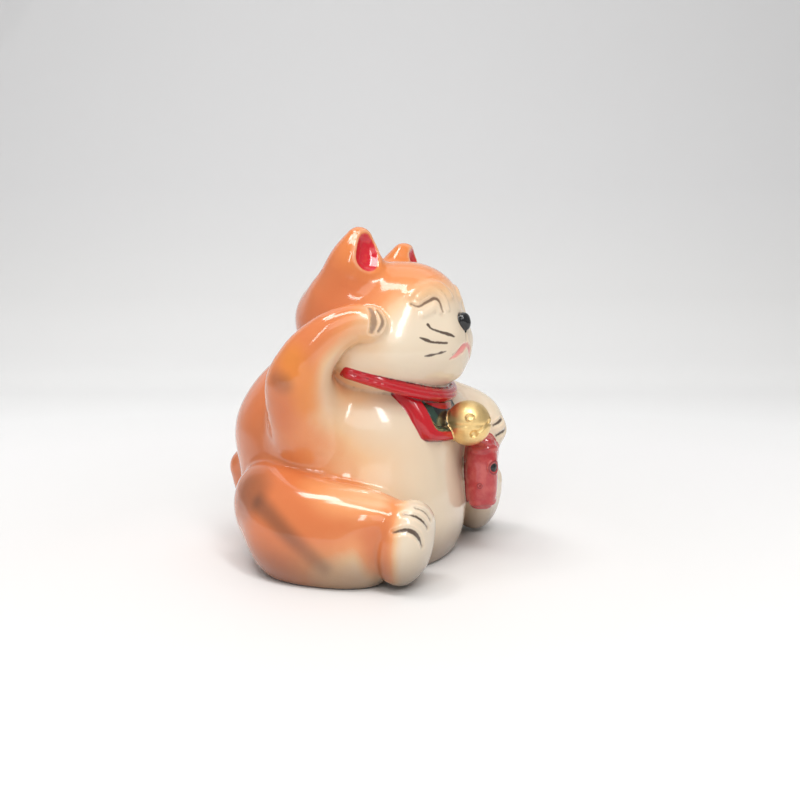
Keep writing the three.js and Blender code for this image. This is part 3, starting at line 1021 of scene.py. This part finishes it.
def glaze():
    """White glazed porcelain with every colour that is sprayed or brushed on it, with painted shade in
    its creases and painted highlight on its ridges
    """
    material = bpy.data.materials.new("painted glaze")
    material.use_nodes = True
    tree = material.node_tree
    shader = tree.nodes["Principled BSDF"]
    crease = kept(tree, "crease")

    orange_glaze = [(0.0, CREAM), (0.3, PEACH), (0.62, APRICOT), (1.0, RUST)]
    colour = ramp(tree, misted(tree, "orange"), orange_glaze)
    colour = laid_over(tree, misted(tree, "amber", 0.3), colour, AMBER)
    # Smoke brown, which also paints shade round the base
    colour = laid_over(tree, misted(tree, "smoke_and_base_shade", 0.3), colour, SMOKE_AND_SHADE_BROWN)
    # Painted shade: creases are darkened grey-brown
    colour = laid_over(tree, graded(tree, crease, 0.15, 0.9), colour, CREASE_SHADE_BROWN, 0.5)
    # Painted highlight: ridges are made paler
    colour = laid_over(tree, graded(tree, crease, -0.2, -0.9), colour, RIDGE_HIGHLIGHT_PALE, 0.4)
    colour = laid_over(tree, brushed(tree, "lips", 0.3, 0.5), colour, LIP_PINK, 0.85)
    colour = laid_over(tree, brushed(tree, "bands", 0.3, 0.4), colour, BAND_BROWN, 0.8)
    colour = laid_over(tree, brushed(tree, "sepia", 0.16, 0.2), colour, SEPIA, 0.85)
    colour = laid_over(tree, brushed(tree, "ink", 0.14, 0.3), colour, INK_BROWN, 0.92)
    ear_glaze = pooled_with_painted_light(tree, COLLAR_DEEP, EAR_RED, COLLAR_LIGHT)
    colour = laid_over(tree, brushed(tree, "ears"), colour, ear_glaze)
    red_glaze = pooled_with_painted_light(tree, COLLAR_DEEP, COLLAR_RED, COLLAR_LIGHT)
    colour = laid_over(tree, brushed(tree, "bib"), colour, red_glaze)
    colour = laid_over(tree, brushed(tree, "bib_field", 0.1, 0.3), colour, BIB_GREEN)
    # Painted shade of the bell, in black on the bib
    colour = laid_over(tree, brushed(tree, "bib_shade_behind_bell", 0.3, 0.8), colour, JET)
    colour = laid_over(tree, brushed(tree, "collar"), colour, red_glaze)
    bream = laid_over(tree, graded(tree, noise(tree, 2.6, 3.0), 0.3, 0.75), BREAM_RED, BREAM_PALE)
    colour = laid_over(tree, brushed(tree, "fish"), colour, pooled_with_painted_light(tree, BREAM_DEEP, bream, BREAM_PALE))
    colour = laid_over(tree, brushed(tree, "fish_rings", 0.15), colour, BREAM_DEEP, 0.8)
    colour = laid_over(tree, brushed(tree, "fish_eye"), colour, JET)
    colour = laid_over(tree, brushed(tree, "nose"), colour, JET)
    gilt = brushed(tree, "bell")
    tarnish = sum_of(tree, "MULTIPLY", noise(tree, 0.4, 4.0), 0.22)
    gold = laid_over(tree, tarnish, GOLD, GOLD_DARK)
    # Painted shade: the bell's slot, holes and ring are darkened
    gold = laid_over(tree, brushed(tree, "bell_hollow_shade"), gold, GOLD_DARK, 0.8)
    colour = laid_over(tree, gilt, colour, gold)
    tree.links.new(colour, shader.inputs["Base Color"])
    tree.links.new(gilt, shader.inputs["Metallic"])

    gloss = graded(tree, noise(tree, 7), 0.2, 0.8, 0.08, 0.14)
    gold_grain = graded(tree, noise(tree, 0.6, 3.0), 0.3, 0.7, 0.36, 0.5)
    rough = add_node(tree, "MapRange", inputs={"Value": gilt, "To Min": gloss, "To Max": gold_grain})
    tree.links.new(rough.outputs["Result"], shader.inputs["Roughness"])

    ripple = add_node(tree, "Bump", inputs={
        "Strength": 0.15, "Distance": 0.1 * MM, "Height": noise(tree, 7, 1.0),
    })
    tree.links.new(ripple.outputs["Normal"], shader.inputs["Normal"])
    shader.inputs["IOR"].default_value = 1.55
    shader.inputs["Coat Weight"].default_value = 0.25
    shader.inputs["Coat Roughness"].default_value = 0.03
    shader.inputs["Subsurface Weight"].default_value = 0.08
    shader.inputs["Subsurface Radius"].default_value = (1.0, 0.6, 0.4)
    shader.inputs["Subsurface Scale"].default_value = 1.2 * MM
    return material


def dress(piece, material):
    piece.data.materials.clear()
    piece.data.materials.append(material)


dress(cat, glaze())
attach(cat, "root")
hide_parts("lucky_cat")


# Stage: the camera where the photograph was taken from, a sweep of white paper, and soft lights

LENS = 39.6
CAMERA_TURN = -68
CAMERA_RISE = 5.8
CAMERA_AWAY = 0.2204
CAMERA_CLEAR = 0.01
AIM = Vector((0, -0.014, 0.0384))
SWEEP_BEHIND = 0.56
SWEEP_WIDE = 6.0
SWEEP_TALL = 2.4
SWEEP_BEND = 0.12
FLOOR_REACH = 0.4
# Painted light on the paper: the floor brighter further from the cat, the wall darker higher up
FLOOR_PAINTED_LIGHT = [(0.2, srgb(234, 233, 232)), (0.5, srgb(247, 246, 246)), (0.8, srgb(255, 255, 255))]
WALL_REACH = 0.34
WALL_FOOT = 0.02
WALL_PAINTED_SHADE = [(0, srgb(250, 250, 250)), (0.02, srgb(246, 246, 246)), (0.12, srgb(238, 238, 238)),
               (0.5, srgb(228, 228, 229)), (1, srgb(222, 222, 223))]


def way_to(turn, rise):
    """The direction that lies at a turn about Z from the cat's front, and at a rise above level"""
    turn, rise = math.radians(turn), math.radians(rise)
    return Vector((math.sin(turn) * math.cos(rise), -math.cos(turn) * math.cos(rise), math.sin(rise)))


def camera():
    bpy.ops.object.camera_add(location=AIM + way_to(CAMERA_TURN, CAMERA_RISE) * CAMERA_AWAY)
    made = bpy.context.object
    made.rotation_euler = (AIM - made.location).to_track_quat("-Z", "Y").to_euler()
    made.data.lens = LENS
    made.data.clip_start = CAMERA_CLEAR
    bpy.context.scene.camera = made


def paper():
    """A sweep of white paper under the cat that bends up behind it, with painted light: the floor is
    painted darker near the cat and brighter further off, and the wall darker as it rises
    """
    bpy.ops.object.select_all(action="DESELECT")
    bpy.ops.mesh.primitive_plane_add(size=1, location=(0, 0, 0))
    sweep = bpy.context.object
    sweep.name = "paper_sweep"
    sweep.scale = (SWEEP_WIDE, SWEEP_WIDE / 2 + SWEEP_BEHIND, 1)
    sweep.location.y = (SWEEP_BEHIND - SWEEP_WIDE / 2) / 2
    bpy.ops.object.transform_apply(location=True, rotation=False, scale=True)
    bpy.ops.object.mode_set(mode="EDIT")
    bpy.ops.mesh.select_mode(type="EDGE")
    bpy.ops.mesh.select_all(action="DESELECT")
    bpy.ops.object.mode_set(mode="OBJECT")
    corners = sweep.data.vertices
    for edge in sweep.data.edges:
        edge.select = all(corners[index].co.y > SWEEP_BEHIND - MM for index in edge.vertices)
    bpy.ops.object.mode_set(mode="EDIT")
    bpy.ops.mesh.extrude_region_move(TRANSFORM_OT_translate={"value": (0, 0, SWEEP_TALL)})
    bpy.ops.object.mode_set(mode="OBJECT")
    bend = sweep.modifiers.new("bend", "BEVEL")
    bend.width = SWEEP_BEND
    bend.segments = 24
    bpy.ops.object.modifier_apply(modifier="bend")
    bpy.ops.object.shade_smooth()
    sweep.rotation_euler.z = math.radians(CAMERA_TURN)
    bpy.ops.object.transform_apply(location=False, rotation=True, scale=False)
    material = bpy.data.materials.new("white paper")
    material.use_nodes = True
    tree = material.node_tree
    place = add_node(tree, "TexCoord").outputs["Object"]
    height = add_node(tree, "SeparateXYZ", inputs={"Vector": place}).outputs["Z"]
    far = add_node(tree, "VectorMath", {"operation": "LENGTH"}, {0: place}).outputs["Value"]
    floor = ramp(tree, sum_of(tree, "DIVIDE", far, FLOOR_REACH), FLOOR_PAINTED_LIGHT)
    wall = ramp(tree, graded(tree, height, 0, WALL_REACH), WALL_PAINTED_SHADE)
    shade = laid_over(tree, graded(tree, height, 0, WALL_FOOT), floor, wall)
    tree.links.new(shade, tree.nodes["Principled BSDF"].inputs["Base Color"])
    tree.nodes["Principled BSDF"].inputs["Roughness"].default_value = 0.6
    dress(sweep, material)


def softbox(name, turn, rise, away, size, watts):
    """A rectangular light that faces the cat, and isn't seen itself"""
    bpy.ops.object.light_add(type="AREA", location=AIM + way_to(turn, rise) * away)
    made = bpy.context.object
    made.name = name
    facing = (AIM - made.location).to_track_quat("-Z", "Y")
    made.rotation_euler = facing.to_euler()
    made.data.shape = "RECTANGLE"
    made.data.size, made.data.size_y = size
    made.data.energy = watts
    made.visible_camera = False


def lights():
    softbox("window", -56, 38, 0.6, (0.4, 0.3), 0.5)
    softbox("top_strip", -90, 71, 0.6, (0.42, 0.11), 1.3)
    softbox("right_strip", -42, 52, 0.6, (0.07, 0.42), 0.9)
    softbox("left_strip", -88, 34, 0.6, (0.05, 0.26), 0.35)
    softbox("back_strip", -160, 67, 0.6, (0.13, 0.12), 0.5)
    softbox("overhead", 112, 60, 0.9, (0.9, 0.9), 1.7)
    softbox("rim", 150, 25, 0.7, (0.4, 0.5), 0.12)


def room():
    """Dim, slightly warm light from all round"""
    world = bpy.data.worlds.new("room")
    bpy.context.scene.world = world
    world.use_nodes = True
    world.node_tree.nodes["Background"].inputs["Color"].default_value = (1, 0.99, 0.97, 1)
    world.node_tree.nodes["Background"].inputs["Strength"].default_value = 0.42


camera()
paper()
lights()
room()
bpy.context.scene.view_settings.view_transform = "Standard"
